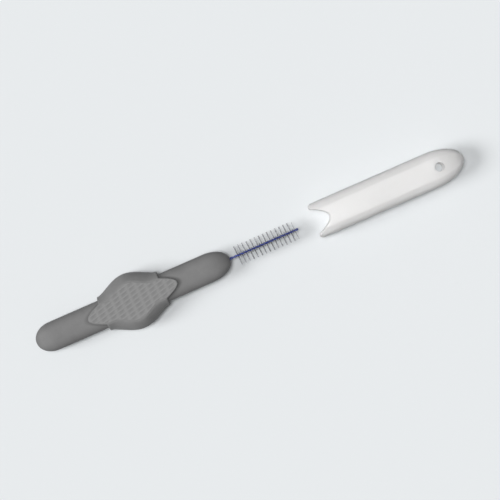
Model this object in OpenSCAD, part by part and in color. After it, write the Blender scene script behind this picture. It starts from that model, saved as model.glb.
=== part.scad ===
// Interdental brush with its push-on cap, lying flat, the cap pulled off ahead of the tip.
// X runs along the brush from tail to tip, Z is up. The origin is under the middle of the grip.

/* [Handle] */
// Length of the handle from tail to nose
handle_len = 48.7; // [44:0.1:56]
// Width of the two stems
stem_w = 6.8; // [6.4:0.1:7.4]
// Thickness of the two stems
stem_t = 5; // [4.8:0.1:5.4]
// Length of the rounded nose, where the wire leaves
nose_len = 5.5; // [4:0.1:8]
// Length of the rounded tail
tail_len = 4.3; // [3:0.1:8]

/* [Web under the grip] */
// Length of the slimmer web that the grip is moulded around
web_len = 13; // [11:0.1:13.6]
// Width of the web
web_w = 5; // [4.4:0.1:5.4]
// Thickness of the web
web_t = 3.2; // [2.6:0.1:3.6]
// Diameter of the two holes that lock the grip to the web
lock_d = 1.8; // [1:0.1:2.2]
// Distance between the two lock holes
lock_pitch = 6; // [4:0.1:8]

/* [Grip] */
// Length of the soft grip over the wings
grip_len = 15; // [14:0.1:17]
// Greatest width of the grip, across the wings
grip_w = 13.4; // [11:0.1:16]
// Width of the grip at its two ends
shoulder_w = 8.4; // [8.2:0.1:9]
// Height of the smooth wings above and below the middle, together
wing_t = 6.4; // [6:0.1:6.5]
// Thickness over the two textured pads, which the grip lies on
pad_t = 6.6; // [6.5:0.1:7.2]
// Greatest width of the textured pad
pad_w = 9.4; // [8:0.1:10]
// Width of the textured pad where it narrows into the tongues
neck_w = 5.2; // [4.4:0.1:5.6]
// Length of the straight neck between pad and tongue
neck_len = 1.5; // [1:0.1:2]
// How far each tongue reaches out over its stem
tongue_len = 3.7; // [3:0.1:4.4]
// How deep the tongues are bedded in the stems
tongue_bed = 0.5; // [0.3:0.1:0.8]

/* [Wire and bristles] */
// Bare wire between the nose and the first bristle
bare_root = 1.65; // [1:0.05:4.5]
// Length of wire held inside the nose
wire_in = 5.2; // [4:0.1:8]
// Diameter of the steel wire
steel_d = 0.17; // [0.14:0.01:0.2]
// Thickness of the plastic coating on the wire
coat_wall = 0.04; // [0.03:0.01:0.06]
// Length of one full twist of the folded wire
twist_pitch = 2.06; // [1.6:0.02:3]
// Diameter over the bristle tips
brush_d = 4.7; // [4:0.1:4.9]
// Thickness of one bristle filament
filament_t = 0.06; // [0.05:0.01:0.08]
// Length of wire that carries bristles
brush_len = 14.6; // [12:0.1:15.2]
// Bare wire beyond the last bristle
bare_tip = 0.85; // [0.6:0.05:1.4]
// How many filaments are clamped in the wire, each with two ends
filaments = 180; // [150:1:180]

/* [Cap] */
// Wall of the cap
cap_wall = 0.7; // [0.5:0.05:0.8]
// Play between the cap and the stem it slides on
cap_play = 0.1; // [0.06:0.01:0.12]
// Room between the wire's tip and the closed end, when the cap is on
tip_room = 2.35; // [1:0.05:4]
// Thickness of the closed end
cap_end_wall = 1.2; // [0.8:0.1:2]
// Length of the rounded closed end
cap_end_len = 8; // [6:0.1:10]
// Diameter of the vent hole through both walls
vent_d = 2.2; // [1.2:0.1:3]
// Distance from the closed end to the vent hole
vent_inset = 6.2; // [5:0.1:9]
// Play between the cap's notch and the tongue
notch_play = 0.15; // [0.1:0.01:0.3]
// How far the pulled-off cap lies ahead of the wire's tip
cap_off_gap = 4; // [2:0.1:10]

/* [Hidden] */

core_colour = "#6d6c6b";
grip_colour = "#7f7e7c";
steel_colour = "#b9bcc0";
coat_colour = "#2b307a";
bristle_colour = "#f2f4f6";
cap_colour = "#e4e3e1";

// How square the pillow sections of stems and cap are: 2 is an ellipse
pillow_power = 3.2;
// Points round a section of the stems and the cap
ring_sides = 36;
// Steps along each rounded end, along the wings and round each wing's edge
end_steps = 8;
wing_steps = 16;
edge_steps = 7;
// Sides of the round wire and its rings in one full twist and in the fold at the tip
wire_sides = 6;
twist_rings = 8;
fold_rings = 6;
// Points along the pad outline and along a tongue
pad_steps = 12;
tongue_steps = 14;
hole_fn = 48;
// Overrun of every cut past the face that it goes through
cut = 0.5;

// The shape of the wings' outline: how full it is between the widest place and the shoulder
wing_power = 0.65;
// Length of each straight shoulder at the grip's ends
shoulder_len = 0.5;
// The shape of the tongues: how far they keep their width, and how round the tip is
tongue_keep_power = 0.95;
tongue_tip_power = 0.52;
// The bore that holds the wire's end clears the twisted wire by this
socket_play = 0.02;
// The clamped filaments clear the coating on each side by this
clamp_play = 0.005;
// How far the clamped row of filaments stands out of the gap between the two strands
clamp_out = 0.015;
// The cap comes this close to the grip's end faces when it is fully on
seat_gap = 0.05;

axis_z = pad_t / 2;
nose_x = handle_len / 2;
// Length of wire that shows beyond the nose
wire_out = bare_root + brush_len + bare_tip;
tip_x = nose_x + wire_out;
coat_d = steel_d + 2 * coat_wall;
strand_gap = filament_t + 2 * clamp_play;
strand_r = (coat_d + strand_gap) / 2;
socket_d = 2 * strand_r + coat_d + 2 * socket_play;
fold_x = tip_x - strand_r - coat_d / 2;
wire_start_x = nose_x - wire_in;
brush_end_x = tip_x - bare_tip;
brush_start_x = brush_end_x - brush_len;
clamp_w = coat_d + 2 * clamp_out;
filament_pitch = brush_len / filaments;
half_twist = 180;

cap_in_w = stem_w + 2 * cap_play;
cap_in_t = stem_t + 2 * cap_play;
cap_w = cap_in_w + 2 * cap_wall;
cap_t = pad_t;
cap_len = nose_x - grip_len / 2 + wire_out + tip_room + cap_end_wall;
cap_x = tip_x + cap_off_gap;
notch_w = neck_w + 2 * notch_play;
notch_len = tongue_len + notch_play + seat_gap;
prong_w = (cap_w - notch_w) / 2;

function whole(v, power) = sign(v) * pow(abs(v), 2 / power);

// A closed pillow section across X, half_y wide and half_z high each way
function pillow(x, half_y, half_z) = [
    for (i = [0:ring_sides - 1]) let (a = 360 * i / ring_sides)
        [x, half_y * whole(cos(a), pillow_power), half_z * whole(sin(a), pillow_power)]
];

// Sections of a round end from its widest place to just short of its pole
function round_end(x, reach, w, t) = [
    for (i = [0:end_steps - 1]) let (a = 90 * i / end_steps)
        pillow(x + reach * sin(a), w / 2 * cos(a), t / 2 * cos(a))
];

function reversed(list) = [for (i = [len(list) - 1:-1:0]) list[i]];

// Half width of the grip's outline at a distance from its middle
function wing_half(d) =
    let (reach = grip_len / 2 - shoulder_len, swell = (1 + cos(180 * min(d / reach, 1))) / 2)
        shoulder_w / 2 + (grip_w - shoulder_w) / 2 * pow(swell, wing_power);

// Half width of the textured pad with its neck, at a distance from the grip's middle
function pad_half(d) = let (reach = grip_len / 2 - neck_len)
    neck_w / 2 + (pad_w - neck_w) / 4 * (1 + cos(180 * min(d / reach, 1)));

// Half width of a tongue of full width w at a share of its length
function tongue_half(w, along) = w / 2 * pow(max(1 - pow(along, tongue_keep_power), 0), tongue_tip_power);

// Outline of one quarter of the pad and tongue, from the middle to the tongue's tip
pad_quarter = concat(
    [for (i = [0:pad_steps]) let (x = (grip_len / 2 - neck_len) * i / pad_steps) [x, pad_half(x)]],
    [for (i = [0:tongue_steps]) let (along = sin(90 * i / tongue_steps))
        [grip_len / 2 + tongue_len * along, tongue_half(neck_w, along)]]
);

// Outline of the whole pad, with a tongue at each end
pad_outline = concat(
    pad_quarter,
    [for (p = reversed(pad_quarter)) if (p[1] > 0) [p[0], -p[1]]],
    [for (p = pad_quarter) if (p[0] > 0) [-p[0], -p[1]]],
    [for (p = reversed(pad_quarter)) if (p[0] > 0 && p[1] > 0) [-p[0], p[1]]]
);

// A section through the grip's wings: flat above and below, round at the two edges
function wing_section(x) =
    let (
        pad = pad_half(abs(x)),
        wing = wing_half(abs(x)) - pad,
        edge = [
            for (i = [0:edge_steps]) let (a = 90 * i / edge_steps)
                [pad + wing * cos(a), wing_t / 2 * sin(a)]
        ],
        crown = reversed(edge)
    )
    concat(
        [for (p = edge) [x, p[0], p[1]]],
        [for (p = crown) [x, -p[0], p[1]]],
        [for (i = [1:edge_steps]) [x, -edge[i][0], -edge[i][1]]],
        [for (i = [0:edge_steps - 1]) [x, crown[i][0], -crown[i][1]]]
    );

// Triangles of the side between ring number i and the next, with n points a ring, counted from base
function band(i, n, base = 0) = [
    for (j = [0:n - 1], half = [0, 1])
        let (a = base + i * n + j, b = base + i * n + (j + 1) % n)
            half == 0 ? [a, b + n, b] : [a, a + n, b + n]
];

// A closed solid through rings of points, with a middle point at each end
module loft(rings, first, last) {
    n = len(rings[0]);
    m = len(rings);
    polyhedron(
        concat([for (ring = rings) each ring], [first, last]),
        concat(
            [for (i = [0:m - 2]) each band(i, n)],
            [for (j = [0:n - 1]) [m * n, j, (j + 1) % n]],
            [for (j = [0:n - 1]) [m * n + 1, (m - 1) * n + (j + 1) % n, (m - 1) * n + j]]
        )
    );
}

// Points of the folded wire: each is a middle, the way out from the axis, and the way along
function twist_way(x) = let (a = 360 * (x - fold_x) / twist_pitch) [0, cos(a), sin(a)];
function twist_across(x) = let (a = 360 * (x - fold_x) / twist_pitch) [0, -sin(a), cos(a)];

function unit(v) = v / norm(v);

leg_rings = ceil((fold_x - wire_start_x) / twist_pitch * twist_rings);
leg_lean = 2 * PI * strand_r / twist_pitch;

function leg_point(i, side) = let (x = wire_start_x + (fold_x - wire_start_x) * i / leg_rings)
    [
        [x, 0, 0] + side * strand_r * twist_way(x),
        side * twist_way(x),
        unit([side, 0, 0] + leg_lean * twist_across(x))
    ];

function fold_point(i) = let (a = half_twist * i / fold_rings, way = twist_way(fold_x))
    [
        [fold_x, 0, 0] + strand_r * ([sin(a), 0, 0] + cos(a) * way),
        [sin(a), 0, 0] + cos(a) * way,
        [cos(a), 0, 0] - sin(a) * way
    ];

wire_path = concat(
    [for (i = [0:leg_rings - 1]) leg_point(i, 1)],
    [for (i = [0:fold_rings]) fold_point(i)],
    [for (i = [leg_rings - 1:-1:0]) leg_point(i, -1)]
);

// Rings of diameter d round every point of the folded wire
function wire_rings(d) = [
    for (p = wire_path) let (across = cross(p[2], p[1]))
        [
            for (j = [0:wire_sides - 1]) let (a = 360 * j / wire_sides)
                p[0] + d / 2 * (cos(a) * p[1] + sin(a) * across)
        ]
];

module core_bar() {
    tail = [
        for (ring = round_end(nose_x - tail_len, tail_len, stem_w, stem_t))
            [for (p = ring) [-p[0], p[1], p[2]]]
    ];
    rings = concat(
        reversed(tail),
        [
            pillow(-web_len / 2, stem_w / 2, stem_t / 2),
            pillow(-web_len / 2, web_w / 2, web_t / 2),
            pillow(web_len / 2, web_w / 2, web_t / 2),
            pillow(web_len / 2, stem_w / 2, stem_t / 2)
        ],
        round_end(nose_x - nose_len, nose_len, stem_w, stem_t)
    );
    loft(rings, [-nose_x, 0, 0], [nose_x, 0, 0]);
}

// The textured pads and tongues as one slab, between two heights
module pad_slab(low, high) {
    translate([0, 0, low])
        linear_extrude(high - low)
            polygon(pad_outline);
}

module core_shape() {
    bed_z = stem_t / 2 - tongue_bed;
    difference() {
        core_bar();
        pad_slab(bed_z, stem_t / 2 + cut);
        pad_slab(-stem_t / 2 - cut, -bed_z);
        for (side = [-1, 1])
            translate([side * lock_pitch / 2, 0, 0])
                cylinder(h = stem_t, d = lock_d, center = true, $fn = hole_fn);
    }
}

// Rigid bar of the handle: two stems, the slim web between them and the bore for the wire
module handle_core() {
    color(core_colour)
        translate([0, 0, axis_z])
            difference() {
                core_shape();
                translate([wire_start_x, 0, 0])
                    rotate([0, 90, 0])
                        cylinder(h = wire_in + cut, d = socket_d, $fn = hole_fn);
            }
}

// Soft grip moulded round the web and through its two holes
module grip_sleeve() {
    wing_rings = [for (i = [0:wing_steps]) wing_section(grip_len * (i / wing_steps - 1 / 2))];
    color(grip_colour)
        translate([0, 0, axis_z])
            difference() {
                union() {
                    loft(wing_rings, [-grip_len / 2, 0, 0], [grip_len / 2, 0, 0]);
                    pad_slab(-pad_t / 2, pad_t / 2);
                }
                core_shape();
            }
}

// One steel wire, folded in two and twisted, its cut ends inside the nose
module steel_wire() {
    last = len(wire_path) - 1;
    color(steel_colour)
        translate([0, 0, axis_z])
            loft(wire_rings(steel_d), wire_path[0][0], wire_path[last][0]);
}

// Plastic coating all along the folded wire
module wire_coating() {
    outer = wire_rings(coat_d);
    inner = wire_rings(steel_d);
    m = len(outer);
    n = wire_sides;
    start = m * n;
    color(coat_colour)
        translate([0, 0, axis_z])
            polyhedron(
                concat([for (ring = outer) each ring], [for (ring = inner) each ring]),
                concat(
                    [for (i = [0:m - 2]) each band(i, n)],
                    [for (i = [0:m - 2]) each [for (f = band(i, n, start)) reversed(f)]],
                    [for (j = [0:n - 1], half = [0, 1]) let (k = (j + 1) % n)
                        half == 0 ? [start + j, j, k] : [start + j, k, start + k]],
                    [for (j = [0:n - 1], half = [0, 1]) let (k = (j + 1) % n, a = start - n)
                        half == 0 ? [a + j, start + a + j, start + a + k] : [a + j, start + a + k, a + k]]
                )
            );
}

// Corners of a filament's square section, along the wire and across the clamped row
corners = [[-1, -1], [1, -1], [1, 1], [-1, 1]];

// Points of one filament: four on each face of the clamped row, then four at each tip
function filament_points(i) =
    let (
        x = brush_start_x + (i + 1 / 2) * filament_pitch,
        way = twist_way(x),
        across = twist_across(x)
    )
    [
        for (reach = [clamp_w / 2, brush_d / 2], side = [1, -1], j = [0:3]) let (corner = corners[j])
            [x, 0, 0] + side * reach * across + filament_t / 2 * ([corner[0], 0, 0] + side * corner[1] * way)
    ];

function quad(a, b, c, d) = [[a, b, c], [a, c, d]];

// Faces of one filament whose points start at number p
function filament_faces(p) = concat(
    [for (side = [0, 1], j = [0:3]) let (a = p + 4 * side + j, b = p + 4 * side + (j + 1) % 4)
        each quad(a, a + 8, b + 8, b)],
    [for (side = [0, 1]) let (a = p + 8 + 4 * side) each quad(a, a + 3, a + 2, a + 1)],
    quad(p, p + 1, p + 6, p + 7),
    quad(p + 2, p + 3, p + 4, p + 5)
);

// Clamped stretch between a filament whose points start at p and the next one
function clamp_faces(p) = let (q = p + 16) concat(
    quad(p + 1, q, q + 7, p + 6),
    quad(p + 5, q + 4, q + 3, p + 2),
    quad(p + 2, q + 3, q, p + 1),
    quad(p + 6, q + 7, q + 4, p + 5)
);

// Nylon filaments in one row, clamped between the two strands of the wire and turned by its twist
module bristles() {
    last = 16 * (filaments - 1);
    color(bristle_colour)
        translate([0, 0, axis_z])
            polyhedron(
                [for (i = [0:filaments - 1]) each filament_points(i)],
                concat(
                    [for (i = [0:filaments - 1]) each filament_faces(16 * i)],
                    [for (i = [0:filaments - 2]) each clamp_faces(16 * i)],
                    quad(0, 7, 4, 3),
                    quad(last + 1, last + 2, last + 5, last + 6)
                )
            );
}

// Closed shell of the cap before its mouth is shaped, from the mouth to the closed end
module cap_shell() {
    straight = cap_len - cap_end_len;
    inner_end = cap_end_len - cap_end_wall;
    mouth = pillow(0, cap_w / 2, cap_t / 2);
    inner_mouth = pillow(-cut, cap_in_w / 2, cap_in_t / 2);
    difference() {
        loft(
            concat([mouth], round_end(straight, cap_end_len, cap_w, cap_t)),
            [0, 0, 0],
            [cap_len, 0, 0]
        );
        loft(
            concat([inner_mouth], round_end(straight, inner_end, cap_in_w, cap_in_t)),
            [-cut, 0, 0],
            [cap_len - cap_end_wall, 0, 0]
        );
    }
}

// Everything ahead of the cap's mouth: round tips on the two prongs, and the notch between them
module mouth_cut() {
    tip_r = prong_w / 2;
    prong = [for (i = [0:tongue_steps]) let (a = 180 * i / tongue_steps)
        [tip_r * (1 - sin(a)), cap_w / 2 - tip_r + tip_r * cos(a)]];
    notch = [for (i = [1:tongue_steps]) let (along = sin(90 * i / tongue_steps))
        [tip_r + (notch_len - tip_r) * along, tongue_half(notch_w, along)]];
    half = concat(prong, notch);
    outline = concat(
        [[-cut, -cap_w / 2 - cut], [-cut, cap_w / 2 + cut], [tip_r, cap_w / 2 + cut]],
        half,
        [for (p = reversed(half)) if (p[1] > 0) [p[0], -p[1]]],
        [[tip_r, -cap_w / 2 - cut]]
    );
    translate([0, 0, -cap_t / 2 - cut])
        linear_extrude(cap_t + 2 * cut)
            polygon(outline);
}

// Push-on cap: notched mouth, round closed end and a vent hole
module cap() {
    color(cap_colour)
        translate([cap_x, 0, axis_z])
            difference() {
                cap_shell();
                mouth_cut();
                translate([cap_len - vent_inset, 0, 0])
                    cylinder(h = cap_t + 2 * cut, d = vent_d, center = true, $fn = hole_fn);
            }
}

handle_core();
grip_sleeve();
steel_wire();
wire_coating();
bristles();
cap();
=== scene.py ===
"""Interdental brush with its push-on cap: the finish of every piece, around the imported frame."""

import math
import random

import bmesh
import bpy
from mathutils import Matrix, Vector


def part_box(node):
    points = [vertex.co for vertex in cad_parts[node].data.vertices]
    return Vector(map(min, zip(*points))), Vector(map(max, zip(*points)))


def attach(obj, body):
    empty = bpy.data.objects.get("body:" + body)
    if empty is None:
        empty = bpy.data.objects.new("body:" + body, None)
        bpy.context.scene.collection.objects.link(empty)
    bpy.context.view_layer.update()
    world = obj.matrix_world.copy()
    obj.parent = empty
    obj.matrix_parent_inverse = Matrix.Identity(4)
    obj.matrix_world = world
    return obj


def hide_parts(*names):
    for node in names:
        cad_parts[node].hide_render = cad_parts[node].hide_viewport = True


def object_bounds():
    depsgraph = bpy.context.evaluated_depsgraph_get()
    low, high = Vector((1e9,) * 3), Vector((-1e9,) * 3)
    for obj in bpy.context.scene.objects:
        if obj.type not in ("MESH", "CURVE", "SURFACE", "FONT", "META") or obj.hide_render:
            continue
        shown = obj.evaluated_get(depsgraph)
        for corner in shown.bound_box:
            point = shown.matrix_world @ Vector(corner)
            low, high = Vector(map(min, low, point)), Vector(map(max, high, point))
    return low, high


bl_info = {
    "name": "Interdental Brush",
    "version": (1, 0, 0),
    "blender": (4, 5, 0),
    "location": "View3D > Sidebar > Brush",
    "description": "Models an interdental brush and its push-on cap",
    "category": "Add Mesh",
}

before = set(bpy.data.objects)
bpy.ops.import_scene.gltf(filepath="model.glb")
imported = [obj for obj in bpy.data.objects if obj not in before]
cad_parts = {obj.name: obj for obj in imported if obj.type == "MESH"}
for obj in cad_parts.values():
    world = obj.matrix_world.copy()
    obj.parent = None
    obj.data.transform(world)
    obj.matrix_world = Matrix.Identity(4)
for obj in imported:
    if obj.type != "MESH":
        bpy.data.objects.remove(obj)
CAD_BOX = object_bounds()

MM = 0.001
FULL_TURN = 2 * math.pi
HALF_TURN = math.pi
QUARTER_TURN = math.pi / 2

HANDLE_LOW, HANDLE_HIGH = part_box("handle_core")
GRIP_LOW, GRIP_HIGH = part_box("grip_sleeve")
WIRE_LOW, WIRE_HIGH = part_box("wire_coating")
BRISTLE_LOW, BRISTLE_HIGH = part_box("bristles")
CAP_LOW, CAP_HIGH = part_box("cap")
AXIS_Z = (HANDLE_LOW[2] + HANDLE_HIGH[2]) / 2


def length(text, about, default):
    """A length that the sidebar shows, in the scene's units."""
    return bpy.props.FloatProperty(
        name=text, description=about, default=default, unit="LENGTH", precision=5
    )


def amount(text, about, default):
    """A plain number that the sidebar shows."""
    return bpy.props.FloatProperty(name=text, description=about, default=default, precision=3)


def whole(text, about, default):
    """A whole number that the sidebar shows."""
    return bpy.props.IntProperty(name=text, description=about, default=default)


def angle(text, about, degrees):
    """An angle that the sidebar shows."""
    turn = math.radians(degrees)
    return bpy.props.FloatProperty(name=text, description=about, default=turn, subtype="ANGLE")


def shade(text, about, default):
    """A colour that the sidebar shows."""
    return bpy.props.FloatVectorProperty(
        name=text, description=about, default=default, size=3, min=0, max=1, subtype="COLOR"
    )


class BrushSizes(bpy.types.PropertyGroup):
    """Sizes of the brush and its cap"""

    stem_width: length("Stem width", "Width of both stems", HANDLE_HIGH[1] - HANDLE_LOW[1])
    stem_thickness: length("Stem thickness", "Thickness of both stems", HANDLE_HIGH[2] - HANDLE_LOW[2])
    nose_length: length("Nose length", "Length of the rounded nose", 5.5 * MM)
    tail_length: length("Tail length", "Length of the rounded tail", 4.3 * MM)
    grip_length: length("Grip length", "Length of the grip over its wings", 15 * MM)
    grip_width: length("Grip width", "Width across the wings", GRIP_HIGH[1] - GRIP_LOW[1])
    shoulder_width: length("Shoulder width", "Width of the grip at its ends", 8.4 * MM)
    shoulder_length: length("Shoulder length", "Length of each straight shoulder", 0.5 * MM)
    wing_thickness: length("Wing thickness", "Thickness of the smooth wings", 6.4 * MM)
    edge_radius: length("Edge radius", "Rounding of the grip's edges", 0.28 * MM)
    pad_width: length("Pad width", "Greatest width of the textured pad", 9.4 * MM)
    neck_width: length("Neck width", "Width of the pad where the tongues begin", 5.2 * MM)
    neck_length: length("Neck length", "Length of the straight neck before a tongue", 1.5 * MM)
    lattice_height: length("Lattice height", "How far the ribs stand over the cells", 0.09 * MM)
    rib_pitch: length("Rib pitch", "Distance between the slanted ribs", 0.98 * MM)
    cross_pitch: length("Cross pitch", "Distance between the ribs across the grip", 2.13 * MM)
    twist_pitch: length("Twist pitch", "Length of one full twist of the wire", 2.06 * MM)
    strand_diameter: length("Strand diameter", "Diameter of one coated strand", 0.25 * MM)
    strand_radius: length("Strand radius", "Distance of each strand from the wire's axis", 0.16 * MM)
    fold_inset: length("Fold inset", "Distance from the wire's tip to the middle of its fold", 0.285 * MM)
    filament_diameter: length("Filament diameter", "Diameter of one nylon filament", 0.062 * MM)
    cap_wall: length("Cap wall", "Wall of the cap", 0.7 * MM)
    cap_end_length: length("Cap end length", "Length of the rounded closed end", 8 * MM)
    cap_end_wall: length("Cap end wall", "Thickness of the closed end", 1.2 * MM)
    notch_width: length("Notch width", "Width of the notch at its mouth", 5.5 * MM)
    notch_length: length("Notch length", "Depth of the notch in the mouth", 3.9 * MM)
    vent_diameter: length("Vent diameter", "Diameter of the hole in the cap", 2.2 * MM)
    vent_inset: length("Vent inset", "Distance from the closed end to the hole", 6.2 * MM)


class BrushColours(bpy.types.PropertyGroup):
    """Colours of the finishes, of the painted shade and highlight, and of the floor"""

    stem: shade("Stem", "Grey of the rigid handle", (0.172, 0.172, 0.172))
    # Painted shade: this dark grey darkens the stem round the tongues and the pad's low sides, where shade
    # falls beside the raised grip
    seam: shade("Seam", "Dark grey where the grip meets the handle", (0.105, 0.105, 0.105))
    grip: shade("Grip", "Grey of the smooth grip", (0.205, 0.205, 0.205))
    # Painted highlight and shade: the ribs are coloured lighter and the cells darker, as light and shade
    # fall on the lattice
    rib: shade("Rib", "Grey on the lattice ribs", (0.240, 0.240, 0.240))
    cell: shade("Cell", "Grey in the lattice cells", (0.195, 0.195, 0.195))
    wire: shade("Wire", "Navy of the wire's coating", (0.022, 0.052, 0.40))
    # Painted shade: this darker navy colours the coating near the axis, where the two strands meet
    groove_shade: shade("Groove", "Navy between the strands", (0.006, 0.013, 0.10))
    nylon: shade("Nylon", "Pale grey that the clear filaments show", (0.52, 0.53, 0.56))
    nylon_tip: shade("Nylon tip", "White of the filaments' cut tips", (0.93, 0.94, 0.96))
    cap: shade("Cap", "Milky white of the cap", (0.93, 0.925, 0.92))
    cap_cloud: shade("Cap cloud", "Denser white in the cap", (0.965, 0.96, 0.955))
    steel: shade("Steel", "Drawn steel", (0.62, 0.62, 0.64))
    floor: shade("Floor", "Pale floor", (0.785, 0.81, 0.825))
    floor_bounce: shade("Floor bounce", "Grey that the floor throws back on the brush", (0.12, 0.125, 0.13))


# How square the pillow sections are, where 2 is an ellipse
PILLOW_POWER = 3.2
# How fast the grip's outline swells from its shoulders
WING_POWER = 0.65
# How the wings fall from the pad's edge: a power of 2 at the start and 0.5 at the rim is a round
WING_START_POWER = 1.2
WING_FALL_POWER = 0.55
# Most of the wings' half width that their flat middle takes
WING_FLAT = 0.7
# How long a tongue keeps its width, and how blunt its tip is
TONGUE_KEEP_POWER = 0.95
TONGUE_TIP_POWER = 0.52
# How far outside a tongue's outline the painted shade on the stem fades out, where 1 is about the tongue's
# own size
SEAM_SHADE_FADE = 0.3
# The lattice: its slant, how narrow its ribs are, and how high the cross ribs are beside the slanted ones
RIB_SLANT = math.radians(13)
RIB_POWER = 1.6
CROSS_RIB = 0.7
# Height over the axis from which the pad's side is no longer darkened by painted shade
SEAM_SHADE_TOP = 2.95 * MM
# The mould's parting line: half its width at the ridge and at the foot, and its height on bar and cap
PARTING_RIDGE = 0.02 * MM
PARTING_FOOT = 0.06 * MM
BAR_PARTING_HEIGHT = 0.03 * MM
CAP_PARTING_HEIGHT = 0.02 * MM
# Size of the spots and marks of each finish, and the depth of those that are felt
STEM_CLOUD = 2.4 * MM
STEM_GRAIN = 0.16 * MM
STEM_GRAIN_DEPTH = 0.03 * MM
STEM_SCUFF = 0.3 * MM
GRIP_CLOUD = 1.9 * MM
GRIP_GRAIN = 0.1 * MM
GRIP_GRAIN_DEPTH = 0.02 * MM
COATING_SPECKLE = 0.12 * MM
COATING_SPECKLE_DEPTH = 0.004 * MM
NYLON_STREAK = 0.4 * MM
CAP_CLOUD = 3.5 * MM
CAP_FLOW = 0.7 * MM
CAP_GRAIN = 0.2 * MM
CAP_SKIN_DEPTH = 0.01 * MM
STEEL_LINE = 0.03 * MM
FLOOR_TOOTH = 0.5 * MM
# How the marks are drawn out: the smaller the first number, the longer they are along the brush
STEM_SCUFF_STRETCH = (0.08, 1, 1)
CAP_CLOUD_STRETCH = (0.5, 1, 1)
CAP_FLOW_STRETCH = (0.06, 1, 1)
STEEL_LINE_STRETCH = (0.05, 1, 1)
# Noise under the first value gives a finish's one colour, and noise over the second the other
CLOUD_LOW = 0.3
CLOUD_HIGH = 0.7
# Noise at which a scuff starts to show, and at which it shows in full
SCUFF_LOW = 0.58
SCUFF_HIGH = 0.7
# Share of a filament's reach from which it whitens towards its cut tip
WHITE_TIP = 0.8
# Points of a mesh closer than this become one
MERGE_DISTANCE = 0.001 * MM


class Value:
    """A socket whose value changes over a surface: arithmetic on it adds Math nodes."""

    def __init__(self, nodes, output):
        self.nodes = nodes
        self.output = output

    def math(self, operation, *operands):
        return self.nodes.value("Math", {"operation": operation}, dict(enumerate(operands)))

    def __add__(self, other):
        return self.math("ADD", self, other)

    __radd__ = __add__

    def __sub__(self, other):
        return self.math("SUBTRACT", self, other)

    def __rsub__(self, other):
        return self.math("SUBTRACT", other, self)

    def __mul__(self, other):
        return self.math("MULTIPLY", self, other)

    def __abs__(self):
        return self.math("ABSOLUTE", self)

    def __pow__(self, other):
        return self.math("POWER", self, other)

    def between(self, low, high):
        """0 at low and under, 1 at high and over, straight in between."""
        sockets = {"Value": self, "From Min": low, "From Max": high, "To Min": 0.0, "To Max": 1.0}
        return self.nodes.value("MapRange", {"clamp": True}, sockets, output="Result")


class Nodes:
    """The nodes of one material or world."""

    def __init__(self, tree):
        self.tree = tree

    def node(self, kind, settings=None, sockets=None):
        """Adds one node: its settings are set first, then its sockets get numbers or links."""
        made = self.tree.nodes.new("ShaderNode" + kind)
        for name, setting in (settings or {}).items():
            setattr(made, name, setting)
        for name, content in (sockets or {}).items():
            self.fill(made.inputs[name], content)
        return made

    def value(self, kind, settings=None, sockets=None, output=0):
        """Adds one node and gives one of its outputs."""
        return Value(self, self.node(kind, settings, sockets).outputs[output])

    def fill(self, socket, content):
        """Links an output to a socket, or sets the socket's number, colour or vector."""
        if isinstance(content, Value):
            self.tree.links.new(content.output, socket)
        else:
            socket.default_value = content

    def seen(self, *kinds):
        """1 for light paths of these kinds, 0 for the others."""
        path = self.node("LightPath")
        return sum(Value(self, path.outputs[kind]) for kind in kinds).between(0.0, 1.0)


class Paint(Nodes):
    """A material, with the nodes that feed its surface."""

    def __init__(self, name):
        self.material = bpy.data.materials.new(name)
        self.material.use_nodes = True
        super().__init__(self.material.node_tree)
        self.surface = self.tree.nodes["Principled BSDF"]

    def place(self, stretch=(1, 1, 1)):
        """The point on the piece, in metres, scaled along each axis."""
        here = self.value("TexCoord", output="Object")
        return self.value("Mapping", {"vector_type": "POINT"}, {"Vector": here, "Scale": stretch})

    def axes(self):
        """The three parts of the point on the piece."""
        parts = self.node("SeparateXYZ", None, {"Vector": self.place()})
        return [Value(self, parts.outputs[name]) for name in "XYZ"]

    def attribute(self, name):
        """A number that the piece's own points carry."""
        return self.value("Attribute", {"attribute_name": name}, output="Fac")

    def noise(self, size, detail=2.0, stretch=(1, 1, 1)):
        """Smooth noise from 0 to 1, with spots of about that size in metres."""
        sockets = {"Vector": self.place(stretch), "Scale": 1 / size, "Detail": detail}
        return self.value("TexNoise", {"noise_dimensions": "3D"}, sockets, output="Fac")

    def mix(self, low, high, factor):
        """A colour from low to high."""
        settings = {"data_type": "RGBA", "clamp_factor": True}
        # The Mix node repeats its sockets' names: 0 is the factor, 6 and 7 are the colours
        return self.value("Mix", settings, {0: factor, 6: low, 7: high}, output=2)

    def parting_line(self):
        """1 on the mould's parting line round the piece at the axis's height, 0 away from it."""
        return 1 - abs(self.axes()[2] - AXIS_Z).between(PARTING_RIDGE, PARTING_FOOT)

    def bump(self, height, depth, under=None):
        """A normal from a height between 0 and 1, that is depth metres high."""
        sockets = {"Height": height, "Distance": depth, "Strength": 1.0}
        if under is not None:
            sockets["Normal"] = under
        return self.value("Bump", None, sockets)

    def finish(self, **sockets):
        """Fills the surface's own sockets, named with underscores for spaces."""
        for name, content in sockets.items():
            self.fill(self.surface.inputs[name.replace("_", " ")], content)
        return self.material


def shaded(colour, level=1.0):
    """The colour, opaque, made that much lighter or darker."""
    return (*(part * level for part in colour), 1.0)


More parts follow.
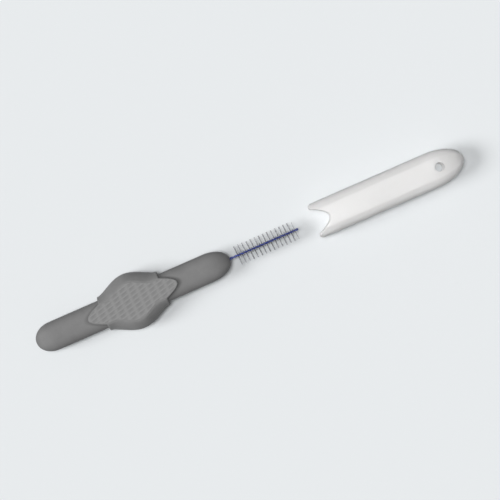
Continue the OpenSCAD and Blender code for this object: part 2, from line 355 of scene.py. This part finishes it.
def grey_plastic(colours, sizes):
    """Matt grey moulding: a fine grain, faint clouds, dull scuffs, the mould's parting line, and painted
    shade on the stem round the tongues where the grip meets the bar.
    """
    paint = Paint("grey_plastic")
    cloud = paint.noise(STEM_CLOUD, detail=3)
    grain = paint.noise(STEM_GRAIN, detail=3)
    scuff = paint.noise(STEM_SCUFF, stretch=STEM_SCUFF_STRETCH).between(SCUFF_LOW, SCUFF_HIGH)
    tone = (cloud * 0.6 + grain * 0.4).between(CLOUD_LOW, CLOUD_HIGH)
    plain = paint.mix(shaded(colours.stem, 0.9), shaded(colours.stem, 1.08), tone)
    # Painted shade: the stem is darkened where the grip was moulded on, along the outline of the tongues,
    # where their raised edges cast shade
    x, y, _ = paint.axes()
    end = sizes.grip_length / 2
    beyond = abs(x).between(end, 2 * GRIP_HIGH[0] - end) * 2
    outside = beyond**TONGUE_KEEP_POWER + (abs(y) * (2 / sizes.neck_width)) ** (1 / TONGUE_TIP_POWER)
    colour = paint.mix(shaded(colours.seam), plain, outside.between(1.0, 1.0 + SEAM_SHADE_FADE))
    grained = paint.bump(grain, STEM_GRAIN_DEPTH)
    normal = paint.bump(paint.parting_line(), BAR_PARTING_HEIGHT, under=grained)
    roughness = 0.5 + cloud * 0.08 + scuff * 0.1
    return paint.finish(Base_Color=colour, Roughness=roughness, Normal=normal, Specular_IOR_Level=0.3)


def soft_grey(colours):
    """Soft-touch elastomer: finer grain, painted highlight on the ribs and painted shade in the cells,
    painted shade low on the pad's sides, worn a little on the crests.
    """
    paint = Paint("soft_grey")
    relief = paint.attribute("relief")
    textured = paint.attribute("textured")
    cloud = paint.noise(GRIP_CLOUD, detail=3)
    grain = paint.noise(GRIP_GRAIN)
    # Painted highlight and shade: the colour goes from the cells' dark grey to the ribs' light grey with
    # the relief's height
    lit_ribs_shaded_cells = paint.mix(shaded(colours.cell), shaded(colours.rib), relief * 0.92 + grain * 0.08)
    tone = cloud.between(CLOUD_LOW, CLOUD_HIGH)
    plain = paint.mix(shaded(colours.grip, 0.92), shaded(colours.grip, 1.07), tone)
    height = abs(paint.axes()[2] - AXIS_Z)
    # Painted shade: the pad's side is darkened low down, next to the stem
    pad = paint.mix(shaded(colours.seam), lit_ribs_shaded_cells, height.between(HANDLE_HIGH[2] - AXIS_Z, SEAM_SHADE_TOP))
    return paint.finish(
        Base_Color=paint.mix(plain, pad, textured),
        Roughness=0.58 + cloud * 0.1 - relief * 0.05,
        Normal=paint.bump(grain, GRIP_GRAIN_DEPTH),
        Specular_IOR_Level=0.35,
        Sheen_Weight=0.08,
    )


def navy_coating(colours, sizes):
    """Glossy navy coating, with painted shade where the two strands meet near the axis."""
    paint = Paint("navy_coating")
    across, up = paint.axes()[1:]
    out = (across**2 + (up - AXIS_Z) ** 2) ** 0.5
    # Painted shade: the coating is darker near the axis, between the strands, and full navy on their outer
    # crests
    crest = out.between(sizes.strand_radius / 2, sizes.strand_radius + sizes.strand_diameter / 2)
    speckle = paint.noise(COATING_SPECKLE)
    return paint.finish(
        Base_Color=paint.mix(shaded(colours.groove_shade), shaded(colours.wire), crest * 0.85 + speckle * 0.15),
        Roughness=0.26 + speckle * 0.12,
        Normal=paint.bump(speckle, COATING_SPECKLE_DEPTH),
        Specular_IOR_Level=0.5,
    )


def clear_nylon(colours):
    """Clear drawn filament, with painted shade that makes it greyer at the wire where the filaments crowd,
    and a white cut tip.
    """
    paint = Paint("clear_nylon")
    streak = paint.noise(NYLON_STREAK)
    along = paint.attribute("along")
    # Painted shade: the filaments are coloured darker towards the wire, where they crowd and shade each
    # other
    tone = (along * 1.6 + streak * 0.3).between(0.1, 0.9)
    drawn = paint.mix(shaded(colours.nylon, 0.55), shaded(colours.nylon), tone)
    return paint.finish(
        Base_Color=paint.mix(drawn, shaded(colours.nylon_tip), along.between(WHITE_TIP, 1.0)),
        Roughness=0.15 + streak * 0.15,
        Transmission_Weight=0.7,
        IOR=1.53,
    )


def milky_plastic(colours):
    """Translucent natural plastic: soft clouds of denser white, flow lines along the cap, a satin skin."""
    paint = Paint("milky_plastic")
    cloud = paint.noise(CAP_CLOUD, detail=3, stretch=CAP_CLOUD_STRETCH)
    flow = paint.noise(CAP_FLOW, stretch=CAP_FLOW_STRETCH)
    grain = paint.noise(CAP_GRAIN)
    tone = (cloud * 0.7 + flow * 0.3).between(CLOUD_LOW, CLOUD_HIGH)
    skin = paint.bump(flow * 0.6 + grain * 0.4, CAP_SKIN_DEPTH)
    return paint.finish(
        Base_Color=paint.mix(shaded(colours.cap), shaded(colours.cap_cloud), tone),
        Roughness=0.34 + cloud * 0.1,
        Normal=paint.bump(paint.parting_line(), CAP_PARTING_HEIGHT, under=skin),
        Transmission_Weight=0.5,
        IOR=1.45,
        Specular_IOR_Level=0.45,
    )


def drawn_steel(colours):
    """Bright drawn wire with fine lines along it."""
    paint = Paint("drawn_steel")
    lines = paint.noise(STEEL_LINE, stretch=STEEL_LINE_STRETCH)
    colour = paint.mix(shaded(colours.steel, 0.8), shaded(colours.steel), lines)
    return paint.finish(Base_Color=colour, Metallic=1.0, Roughness=0.25 + lines * 0.2)


def floor_paint(colours):
    """Plain pale board with a very faint tooth, that throws less light back than it shows."""
    paint = Paint("pale_floor")
    shown = paint.mix(shaded(colours.floor, 0.99), shaded(colours.floor), paint.noise(FLOOR_TOOTH))
    seen = paint.seen("Is Camera Ray", "Is Glossy Ray", "Is Transmission Ray")
    colour = paint.mix(shaded(colours.floor_bounce), shown, seen)
    return paint.finish(Base_Color=colour, Roughness=0.9, Specular_IOR_Level=0.1)


def steps(parts, low=0.0, high=1.0):
    """parts + 1 evenly spaced numbers from low to high."""
    return [low + (high - low) * i / parts for i in range(parts + 1)]


def powered(value, power):
    """The value's size raised to a power, with its sign kept."""
    return math.copysign(abs(value) ** power, value)


def pillow(x, width, thickness, sides=72):
    """A pillow-shaped ring of points across X, round the brush's axis."""
    return [
        Vector(
            (
                x,
                width / 2 * powered(math.cos(a), 2 / PILLOW_POWER),
                AXIS_Z + thickness / 2 * powered(math.sin(a), 2 / PILLOW_POWER),
            )
        )
        for a in steps(sides, 0, FULL_TURN)[:-1]
    ]


def extruded(bm, ring):
    """Extrudes a closed ring of vertices and returns the new ring, in the same order."""
    edges = [bm.edges.get(pair) for pair in zip(ring, ring[1:] + ring[:1])]
    made = set(bmesh.ops.extrude_edge_only(bm, edges=edges)["geom"])
    return [next(e.other_vert(v) for e in v.link_edges if e.other_vert(v) in made) for v in ring]


def place(ring, points):
    """Moves each vertex of a ring to its point."""
    for vert, point in zip(ring, points):
        vert.co = point


def loft(bm, sections, first, last):
    """Skins a run of rings by extruding one along them, and closes each end to a point."""
    start = bmesh.ops.create_circle(bm, segments=len(sections[0]), radius=1.0)["verts"]
    place(start, sections[0])
    ring = start
    for section in sections[1:]:
        ring = extruded(bm, ring)
        place(ring, section)
    bmesh.ops.pointmerge(bm, verts=extruded(bm, start), merge_co=first)
    bmesh.ops.pointmerge(bm, verts=extruded(bm, ring), merge_co=last)


def new_piece(name, bm, material):
    """Makes a smooth object of a finished bmesh, at the origin."""
    bmesh.ops.recalc_face_normals(bm, faces=bm.faces)
    mesh = bpy.data.meshes.new(name)
    bm.to_mesh(mesh)
    bm.free()
    mesh.shade_smooth()
    mesh.materials.append(material)
    piece = bpy.data.objects.new(name, mesh)
    bpy.context.scene.collection.objects.link(piece)
    return piece


def stand_for(piece, node, body):
    """The piece takes a CAD node's place and moves with its body."""
    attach(piece, body)
    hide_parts(node)


def end_rings(x, reach, width, thickness, parts=14):
    """Rings of a rounded end, from its widest place at x to just short of its pole."""
    return [
        pillow(x + reach * math.sin(a), width * math.cos(a), thickness * math.cos(a))
        for a in steps(parts, 0, QUARTER_TURN)[:-1]
    ]


def hump(turn):
    """1 at no turn, falling smoothly to 0 at half a turn."""
    return (1 + math.cos(turn)) / 2


def wing_half(sizes, x):
    """Half width of the grip's outline at x."""
    reach = sizes.grip_length / 2 - sizes.shoulder_length
    swell = hump(HALF_TURN * min(abs(x) / reach, 1))
    half = sizes.shoulder_width / 2
    return half + (sizes.grip_width / 2 - half) * swell**WING_POWER


def pad_half(sizes, x):
    """Half width of the textured pad at x, with its neck and tongue."""
    reach = sizes.grip_length / 2 - sizes.neck_length
    half = sizes.neck_width / 2
    beyond = (abs(x) - sizes.grip_length / 2) / (GRIP_HIGH[0] - sizes.grip_length / 2)
    if beyond > 0:
        return half * max(1 - beyond**TONGUE_KEEP_POWER, 0) ** TONGUE_TIP_POWER
    swell = hump(HALF_TURN * min(abs(x) / reach, 1))
    return half + (sizes.pad_width / 2 - half) * swell


def crest(distance, pitch):
    """1 on a rib and 0 in the middle between two ribs."""
    return hump(FULL_TURN * distance / pitch) ** RIB_POWER


def lattice(sizes, x, y):
    """Height of the slanted ribs and the cross ribs, from 0 in a cell to 1 on a rib."""
    across = y * math.cos(RIB_SLANT) - x * math.sin(RIB_SLANT)
    return max(crest(across, sizes.rib_pitch), CROSS_RIB * crest(x, sizes.cross_pitch))


def crowded(spot, portion):
    """Moves a spot from -1 to 1 nearer to its end, so that evenly spaced spots get closer there."""
    return (1 - portion) * spot + portion * math.sin(QUARTER_TURN * spot)


class PieceOperator(bpy.types.Operator):
    """Shared by the operators that make one piece each"""

    bl_options = {"REGISTER", "UNDO"}

    @property
    def sizes(self):
        return bpy.context.scene.brush_sizes

    @property
    def colours(self):
        return bpy.context.scene.brush_colours


class INTERDENTAL_OT_handle_bar(PieceOperator):
    """The rigid bar: two pillow-shaped stems with round ends, straight through under the grip"""

    bl_idname = "interdental.handle_bar"
    bl_label = "Handle bar"

    middle_parts: whole("Middle parts", "Parts of the straight middle", 24)

    def execute(self, context):
        sizes = self.sizes
        width, thickness = sizes.stem_width, sizes.stem_thickness
        tail_x = HANDLE_LOW[0] + sizes.tail_length
        nose_x = HANDLE_HIGH[0] - sizes.nose_length
        tail = end_rings(tail_x, -sizes.tail_length, width, thickness)
        middle = [pillow(x, width, thickness) for x in steps(self.middle_parts, tail_x, nose_x)[1:-1]]
        nose = end_rings(nose_x, sizes.nose_length, width, thickness)
        bm = bmesh.new()
        loft(
            bm,
            tail[::-1] + middle + nose,
            Vector((HANDLE_LOW[0], 0, AXIS_Z)),
            Vector((HANDLE_HIGH[0], 0, AXIS_Z)),
        )
        piece = new_piece("handle_bar", bm, grey_plastic(self.colours, sizes))
        stand_for(piece, "handle_core", "brush")
        return {"FINISHED"}


def wing_ring(sizes, x, inset, arc=14, flat=6):
    """A ring of the grip's wings at x: flat above and below, round at both edges."""
    half = wing_half(sizes, x) - inset
    pad_x = math.copysign(min(abs(x), sizes.grip_length / 2), x)
    pad = min(pad_half(sizes, pad_x), half * WING_FLAT)
    top = sizes.wing_thickness / 2 - inset
    edge = []
    for a in steps(arc, 0, QUARTER_TURN):
        out = (1 - math.sin(a) ** (1 / WING_FALL_POWER)) ** (1 / WING_START_POWER)
        edge.append((pad + (half - pad) * out, top * math.sin(a)))
    face = [(y, top) for y in steps(flat, pad, -pad)[1:-1]]
    upper = edge + face + [(-y, z) for y, z in edge[::-1]]
    lower = [(-y, -z) for y, z in upper[1:-1]]
    return [Vector((x, y, AXIS_Z + z)) for y, z in upper + lower]


class INTERDENTAL_OT_grip_wings(PieceOperator):
    """The smooth part of the soft grip: two wings that swell from square shoulders"""

    bl_idname = "interdental.grip_wings"
    bl_label = "Grip wings"

    parts: whole("Parts", "Parts along the wings", 56)
    edge_rings: whole("Edge rings", "Rings round the edge at each end", 5)

    def execute(self, context):
        sizes = self.sizes
        radius = sizes.edge_radius
        end = sizes.grip_length / 2
        head, tail = [], []
        for a in steps(self.edge_rings, 0, QUARTER_TURN)[:-1]:
            inset, back = radius * (1 - math.sin(a)), radius * (1 - math.cos(a))
            head.append(wing_ring(sizes, -end + back, inset))
            tail.append(wing_ring(sizes, end - back, inset))
        body = [wing_ring(sizes, x, 0) for x in steps(self.parts, -end + radius, end - radius)]
        bm = bmesh.new()
        loft(bm, head + body + tail[::-1], Vector((-end, 0, AXIS_Z)), Vector((end, 0, AXIS_Z)))
        piece = new_piece("grip_wings", bm, soft_grey(self.colours))
        stand_for(piece, "grip_sleeve", "brush")
        return {"FINISHED"}


class INTERDENTAL_OT_grip_pads(PieceOperator):
    """The ribbed pads on both faces of the grip, with a tongue out over each stem"""

    bl_idname = "interdental.grip_pads"
    bl_label = "Grip pads"

    rim: length("Rim", "Width over which the ribs rise inside the plain rim", 0.3 * MM)
    plain_rim: amount("Plain rim", "Width of the plain rim, as a share of the rim", 0.6)
    rounding: length("Rounding", "Rounding of the pad's edge", 0.45 * MM)
    stations: whole("Stations", "Faces along the pad", 250)
    courses: whole("Courses", "Faces across the pad", 104)
    end_crowding: amount("End crowding", "How much closer the points get at the tongues", 0.3)
    edge_crowding: amount("Edge crowding", "How much closer the points get at the sides", 0.25)

    def face_height(self, x, y):
        """Height over the axis and share of relief at a point of the pad's face."""
        sizes = self.sizes
        inside = min(pad_half(sizes, x) - abs(y), GRIP_HIGH[0] - abs(x))
        radius = self.rounding
        sink = radius - math.sqrt(max(radius**2 - max(radius - inside, 0) ** 2, 0))
        share = min(max((inside - self.rim * self.plain_rim) / self.rim, 0), 1)
        raised = 1 + share * (lattice(sizes, x, y) - 1)
        top = GRIP_HIGH[2] - AXIS_Z
        return top - sink - sizes.lattice_height * (1 - raised), raised * share

    def execute(self, context):
        sizes = self.sizes
        bm = bmesh.new()
        relief_layer = bm.verts.layers.float.new("relief")
        textured_layer = bm.verts.layers.float.new("textured")
        bmesh.ops.create_grid(bm, x_segments=self.stations, y_segments=self.courses, size=1.0)
        for vert in bm.verts:
            x = GRIP_HIGH[0] * crowded(vert.co.x, self.end_crowding)
            y = pad_half(sizes, x) * crowded(vert.co.y, self.edge_crowding)
            height, raised = self.face_height(x, y)
            vert.co = (x, y, height)
            vert[relief_layer] = raised
            vert[textured_layer] = 1.0
        bmesh.ops.remove_doubles(bm, verts=bm.verts, dist=MERGE_DISTANCE)
        border = [edge for edge in bm.edges if edge.is_boundary]
        wall = bmesh.ops.extrude_edge_only(bm, edges=border)["geom"]
        for vert in (part for part in wall if isinstance(part, bmesh.types.BMVert)):
            vert.co.z = 0
        half = bm.verts[:] + bm.edges[:] + bm.faces[:]
        bmesh.ops.mirror(bm, geom=half, merge_dist=MERGE_DISTANCE, axis="Z")
        bmesh.ops.translate(bm, verts=bm.verts, vec=(0, 0, AXIS_Z))
        piece = new_piece("grip_pads", bm, bpy.data.materials["soft_grey"])
        stand_for(piece, "grip_sleeve", "brush")
        return {"FINISHED"}


class INTERDENTAL_OT_wire(PieceOperator):
    """The coated wire: folded in two at the tip and twisted, with its steel inside"""

    bl_idname = "interdental.wire"
    bl_label = "Wire"

    sides: whole("Sides", "Sides of the round strand", 12)
    turn_steps: whole("Turn steps", "Rings in one full twist", 28)
    fold_steps: whole("Fold steps", "Rings round the fold at the tip", 12)

    def execute(self, context):
        sizes = self.sizes
        axis = Vector((0, 0, AXIS_Z))
        fold = Vector((WIRE_HIGH[0] - sizes.fold_inset, 0, AXIS_Z))
        run = fold.x - WIRE_LOW[0]
        twist = FULL_TURN * run / sizes.twist_pitch
        rings = round(self.turn_steps * twist / FULL_TURN)
        lean = math.atan2(FULL_TURN * sizes.strand_radius, sizes.twist_pitch)
        bm = bmesh.new()
        radius = sizes.strand_diameter / 2
        disc = bmesh.ops.create_circle(bm, cap_ends=True, segments=self.sides, radius=radius)["verts"]
        # The strand starts beside the axis, turned back so that its twist ends level beside it
        bmesh.ops.transform(bm, verts=disc, matrix=Matrix.Rotation(QUARTER_TURN - lean, 4, "Y"))
        bmesh.ops.translate(bm, verts=disc, vec=(WIRE_LOW[0], sizes.strand_radius, AXIS_Z))
        bmesh.ops.rotate(bm, verts=disc, cent=axis, matrix=Matrix.Rotation(-twist, 3, "X"))
        way = Vector((1, 0, 0))
        leg = {"cent": axis, "angle": twist, "steps": rings}
        there = leg | {"axis": way, "dvec": way * run / rings}
        back = leg | {"axis": -way, "dvec": -way * run / rings}
        round_fold = {"cent": fold, "axis": (0, 0, -1), "angle": HALF_TURN, "steps": self.fold_steps}
        end = bm.verts[:] + bm.edges[:] + bm.faces[:]
        for path in (there, round_fold, back):
            end = bmesh.ops.spin(bm, geom=end, **path)["geom_last"]
        piece = new_piece("wire_strands", bm, navy_coating(self.colours, sizes))
        stand_for(piece, "wire_coating", "brush")
        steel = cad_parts["steel_wire"].data
        steel.materials.clear()
        steel.materials.append(drawn_steel(self.colours))
        return {"FINISHED"}


class INTERDENTAL_OT_bristles(PieceOperator):
    """The nylon filaments, clamped between the strands and fanned out by the twist"""

    bl_idname = "interdental.bristles"
    bl_label = "Bristles"

    filaments: whole("Filaments", "Filaments in the row, each with two ends", 384)
    seed: whole("Seed", "Seed of the small irregularities", 5)
    bunching: amount("Bunching", "Share of the wire's length that the bunched filaments take", 0.34)
    end_gap: length("End gap", "Bare wire in the row's box at each end of the row", 0.1 * MM)
    spread: angle("Spread", "How unevenly the filaments stand round the wire", 2.5)
    drift: length("Drift", "How unevenly the filaments stand along the wire", 0.012 * MM)
    bend: length("Bend", "How far the tip of the most bent filament lies to one side", 0.08 * MM)
    bends: whole("Bends", "Steps from one most bent filament to the opposite one", 8)
    uneven: amount("Uneven", "Share by which the shortest filament is shorter", 0.06)
    trim: amount("Trim", "Share by which the filaments get shorter towards the wire's tip", 0.05)
    trim_length: length("Trim length", "Length of wire over which they get shorter", 1 * MM)
    row_lean: amount("Row lean", "Slant of the row: shift towards the handle per length to its left", 0.05)
    sides: whole("Sides", "Sides of a filament", 5)
    joints: whole("Joints", "Straight parts in a bent filament", 5)

    def filament_end(self, sizes, bend):
        """A mesh of one filament end along Y, from the wire's axis to a cut tip, a little bent."""
        bm = bmesh.new()
        along_layer = bm.verts.layers.float.new("along")
        reach = (BRISTLE_HIGH[1] - BRISTLE_LOW[1]) / 2
        radius = sizes.filament_diameter / 2
        sections = []
        for along in steps(self.joints):
            middle = Vector((bend * along**2, reach * along, 0))
            turns = steps(self.sides, 0, FULL_TURN)[:-1]
            sections.append([middle + radius * Vector((math.sin(a), 0, math.cos(a))) for a in turns])
        loft(bm, sections, Vector((0, 0, 0)), Vector((bend, reach + radius / 2, 0)))
        for vert in bm.verts:
            vert[along_layer] = vert.co.y / reach
        mesh = bpy.data.meshes.new("filament_end")
        bm.to_mesh(mesh)
        bm.free()
        return mesh

    def execute(self, context):
        sizes = self.sizes
        draw = random.Random(self.seed)
        shapes = [self.filament_end(sizes, bend) for bend in steps(self.bends, -self.bend, self.bend)]
        low, high = BRISTLE_LOW[0], BRISTLE_HIGH[0]
        fold_x = WIRE_HIGH[0] - sizes.fold_inset
        quarter = sizes.twist_pitch / 4
        bm = bmesh.new()
        for even_x in steps(self.filaments - 1, low + self.end_gap, high - self.end_gap):
            # The strands bunch the filaments at each quarter turn
            bunch = fold_x + quarter * round((even_x - fold_x) / quarter)
            x = bunch + (even_x - bunch) * self.bunching
            turn = FULL_TURN * (x - fold_x) / sizes.twist_pitch + QUARTER_TURN
            near_tip = min(max(1 - (high - x) / self.trim_length, 0), 1)
            for side in (0, HALF_TURN):
                made = len(bm.verts)
                bm.from_mesh(draw.choice(shapes))
                bm.verts.ensure_lookup_table()
                swing = Matrix.Rotation(turn + side + draw.gauss(0, self.spread), 4, "X")
                reach = (1 - self.uneven * draw.random()) * (1 - self.trim * near_tip)
                shift = Matrix.Translation((x + draw.gauss(0, self.drift), 0, AXIS_Z))
                matrix = shift @ swing @ Matrix.Diagonal((1, reach, 1, 1))
                bmesh.ops.transform(bm, matrix=matrix, verts=bm.verts[made:])
        for vert in bm.verts:
            vert.co.x -= self.row_lean * vert.co.y
        piece = new_piece("filaments", bm, clear_nylon(self.colours))
        stand_for(piece, "bristles", "brush")
        for mesh in shapes:
            bpy.data.meshes.remove(mesh)
        return {"FINISHED"}


class INTERDENTAL_OT_cap(PieceOperator):
    """The push-on cap: a hollow pillow with a notched mouth, a round end and a hole through it"""

    bl_idname = "interdental.cap"
    bl_label = "Cap"

    lip: length("Lip", "Rounding of the mouth's rim", 0.2 * MM)
    crease: amount("Crease", "How flat the top is, from 0 to 1", 0.76)
    crease_place: amount("Crease place", "Share of the half width where the flat top ends", 0.56)
    crease_fade: amount("Crease fade", "Share of the half width over which the crease dies out", 0.36)
    vent_edge: length("Vent edge", "Rounding of the hole's edges", 0.06 * MM)
    vent_sides: whole("Vent sides", "Sides of the round hole", 64)
    vent_segments: whole("Vent segments", "Parts of the hole's rounded edges", 3)
    vent_angle: angle("Vent angle", "Edges sharper than this get rounded", 50)
    vent_weld: length("Vent weld", "Points of the hole's rim closer than this become one", 0.004 * MM)
    sides: whole("Sides", "Points round the cap", 144)
    wall_parts: whole("Wall parts", "Parts along the straight wall", 20)
    mouth_crowding: amount("Mouth crowding", "Power that makes those parts shorter at the mouth", 1.5)
    end_parts: whole("End parts", "Parts of the closed end's curve", 18)
    lip_parts: whole("Lip parts", "Parts of the mouth's rounded rim", 8)

    def mouth(self, y):
        """How far the mouth's edge lies behind the prong tips, at y."""
        sizes = self.sizes
        half = sizes.notch_width / 2
        tip_radius = (CAP_HIGH[1] - half) / 2
        if abs(y) >= half:
            return tip_radius - math.sqrt(max(tip_radius**2 - (abs(y) - half - tip_radius) ** 2, 0))
        # The notch's curve gives half its width at a depth, so its depth at y is the inverse
        along = (1 - (abs(y) / half) ** (1 / TONGUE_TIP_POWER)) ** (1 / TONGUE_KEEP_POWER)
        return tip_radius + (sizes.notch_length - tip_radius) * along

    def wall_ring(self, x, width, thickness, crispness):
        """A ring of the cap's wall, with soft creases beside its flat top and bottom."""
        ring = pillow(x, width, thickness, sides=self.sides)
        half = thickness / 2
        drop = half * (1 - (1 - self.crease_place**PILLOW_POWER) ** (1 / PILLOW_POWER))
        for point in ring:
            share = abs(point.y) / (width / 2)
            beyond = (share - self.crease_place) / self.crease_fade
            flatten = half - abs(point.z - AXIS_Z) if beyond < 0 else drop * max(1 - beyond, 0)
            point.z += math.copysign(flatten * self.crease * crispness, point.z - AXIS_Z)
        return ring

    def wall_rings(self, width, thickness, straight_x, end, crispness):
        """Rings of one wall, from its mouth to just short of its closed end."""
        rings = []
        for share in [s**self.mouth_crowding for s in steps(self.wall_parts)][:-1]:
            ring = self.wall_ring(0, width, thickness, crispness)
            for point in ring:
                begin = CAP_LOW[0] + self.mouth(point.y) + self.lip
                point.x = begin + (straight_x - begin) * share
            rings.append(ring)
        for a in steps(self.end_parts, 0, QUARTER_TURN)[:-1]:
            x = straight_x + end * math.sin(a)
            rings.append(self.wall_ring(x, width * math.cos(a), thickness * math.cos(a), crispness))
        return rings

    def execute(self, context):
        sizes = self.sizes
        width, thickness = CAP_HIGH[1] - CAP_LOW[1], CAP_HIGH[2] - CAP_LOW[2]
        wall = sizes.cap_wall
        straight_x = CAP_HIGH[0] - sizes.cap_end_length
        hollow_end = sizes.cap_end_length - sizes.cap_end_wall
        outer = self.wall_rings(width, thickness, straight_x, sizes.cap_end_length, 1)
        inner = self.wall_rings(width - 2 * wall, thickness - 2 * wall, straight_x, hollow_end, 0)
        rim = []
        for a in steps(self.lip_parts, 0, HALF_TURN)[1:-1]:
            inset = wall * (1 - math.cos(a))
            ring = self.wall_ring(0, width - inset, thickness - inset, hump(a))
            for point in ring:
                point.x = CAP_LOW[0] + self.mouth(point.y) + self.lip * (1 - math.sin(a))
            rim.append(ring)
        bm = bmesh.new()
        tip = Vector((CAP_HIGH[0], 0, AXIS_Z))
        loft(bm, outer[::-1] + rim + inner, tip, tip - Vector((sizes.cap_end_wall, 0, 0)))
        piece = new_piece("cap_shell", bm, milky_plastic(self.colours))
        self.drill(piece, sizes)
        stand_for(piece, "cap", "cap")
        return {"FINISHED"}

    def drill(self, piece, sizes):
        """Cuts the hole through both walls and rounds its edges."""
        bm = bmesh.new()
        radius = sizes.vent_diameter / 2
        depth = 2 * (CAP_HIGH[2] - CAP_LOW[2])
        bmesh.ops.create_cone(
            bm, cap_ends=True, segments=self.vent_sides, radius1=radius, radius2=radius, depth=depth
        )
        bmesh.ops.translate(bm, verts=bm.verts, vec=(CAP_HIGH[0] - sizes.vent_inset, 0, AXIS_Z))
        cutter = new_piece("vent_cutter", bm, bpy.data.materials["milky_plastic"])
        cut = piece.modifiers.new("vent", "BOOLEAN")
        cut.object = cutter
        cut.solver = "EXACT"
        weld = piece.modifiers.new("weld", "WELD")
        weld.merge_threshold = self.vent_weld
        soften = piece.modifiers.new("edges", "BEVEL")
        soften.limit_method = "ANGLE"
        soften.angle_limit = self.vent_angle
        soften.width = self.vent_edge
        soften.segments = self.vent_segments
        drilled = piece.evaluated_get(bpy.context.evaluated_depsgraph_get())
        mesh = bpy.data.meshes.new_from_object(drilled)
        piece.modifiers.clear()
        piece.data = mesh
        mesh.name = "cap_shell"
        bpy.data.objects.remove(cutter)


class INTERDENTAL_OT_stage(PieceOperator):
    """The pale floor, the soft studio light and the camera, which looks straight down"""

    bl_idname = "interdental.stage"
    bl_label = "Stage"

    brush_tilt: angle("Brush tilt", "Slant of the brush in the view", 23.65)
    view_width: length("View width", "Width of the floor that the camera sees", 116 * MM)
    camera_height: length("Camera height", "Height of the camera over the floor", 520 * MM)
    floor_size: length("Floor size", "Half of the floor's width", 2.0)
    floor_gap: length("Floor gap", "Distance of the floor under the lowest point", 0.02 * MM)
    sky: amount("Sky", "Light from all around, where 1 is full light", 0.11)
    shown_sky: amount("Shown sky", "How bright the surroundings look to the camera and in gloss", 0.85)

    def lamp(self, name, towards, softness, share):
        """A soft lamp that gives a level floor this share of full light, from a direction in the view."""
        light = bpy.data.lights.new(name, "SUN")
        light.angle = math.radians(softness)
        light.energy = math.pi * share / towards.normalized().z
        lamp = bpy.data.objects.new(name, light)
        turned = Matrix.Rotation(-self.brush_tilt, 3, "Z") @ towards
        lamp.rotation_euler = turned.to_track_quat("Z", "Y").to_euler()
        lamp.location = (0, 0, self.camera_height)
        bpy.context.scene.collection.objects.link(lamp)

    def camera(self):
        """A long lens straight over the middle of the brush and its cap."""
        middle = (Vector(CAD_BOX[0]) + Vector(CAD_BOX[1])) / 2
        data = bpy.data.cameras.new("camera")
        data.lens = data.sensor_width * self.camera_height / self.view_width
        data.clip_start = 1 * MM
        camera = bpy.data.objects.new("camera", data)
        camera.location = (middle.x, middle.y, self.camera_height)
        camera.rotation_euler = (0, 0, -self.brush_tilt)
        bpy.context.scene.collection.objects.link(camera)
        bpy.context.scene.camera = camera

    def surroundings(self):
        """An even pale light from all around, which looks brighter than it lights."""
        world = bpy.data.worlds.new("studio")
        world.use_nodes = True
        nodes = Nodes(world.node_tree)
        background = world.node_tree.nodes["Background"].inputs
        nodes.fill(background["Color"], (1, 1, 1, 1))
        seen = nodes.seen("Is Camera Ray", "Is Glossy Ray")
        nodes.fill(background["Strength"], self.sky + seen * (self.shown_sky - self.sky))
        bpy.context.scene.world = world

    def execute(self, context):
        bm = bmesh.new()
        bmesh.ops.create_grid(bm, x_segments=1, y_segments=1, size=self.floor_size)
        bmesh.ops.translate(bm, verts=bm.verts, vec=(0, 0, CAD_BOX[0][2] - self.floor_gap))
        new_piece("floor", bm, floor_paint(self.colours))
        self.camera()
        self.surroundings()
        self.lamp("key", towards=Vector((-0.43, -0.11, 0.32)), softness=26, share=0.36)
        self.lamp("top", towards=Vector((-0.07, 0.01, 0.61)), softness=18, share=0.56)
        context.scene.view_settings.view_transform = "Standard"
        return {"FINISHED"}


class VIEW3D_PT_interdental(bpy.types.Panel):
    """Lists the pieces of the brush in the 3D view's sidebar"""

    bl_label = "Interdental Brush"
    bl_idname = "VIEW3D_PT_interdental"
    bl_space_type = "VIEW_3D"
    bl_region_type = "UI"
    bl_category = "Brush"

    def draw(self, context):
        for operator in OPERATORS:
            self.layout.operator(operator.bl_idname)


OPERATORS = (
    INTERDENTAL_OT_stage,
    INTERDENTAL_OT_handle_bar,
    INTERDENTAL_OT_grip_wings,
    INTERDENTAL_OT_grip_pads,
    INTERDENTAL_OT_wire,
    INTERDENTAL_OT_bristles,
    INTERDENTAL_OT_cap,
)
CLASSES = (BrushSizes, BrushColours, *OPERATORS, VIEW3D_PT_interdental)


def register():
    for cls in CLASSES:
        bpy.utils.register_class(cls)
    bpy.types.Scene.brush_sizes = bpy.props.PointerProperty(type=BrushSizes)
    bpy.types.Scene.brush_colours = bpy.props.PointerProperty(type=BrushColours)


def unregister():
    del bpy.types.Scene.brush_colours
    del bpy.types.Scene.brush_sizes
    for cls in reversed(CLASSES):
        bpy.utils.unregister_class(cls)


def main():
    register()
    bpy.ops.interdental.stage()
    bpy.ops.interdental.handle_bar()
    bpy.ops.interdental.grip_wings()
    bpy.ops.interdental.grip_pads()
    bpy.ops.interdental.wire()
    bpy.ops.interdental.bristles()
    bpy.ops.interdental.cap()


if __name__ == "__main__":
    main()
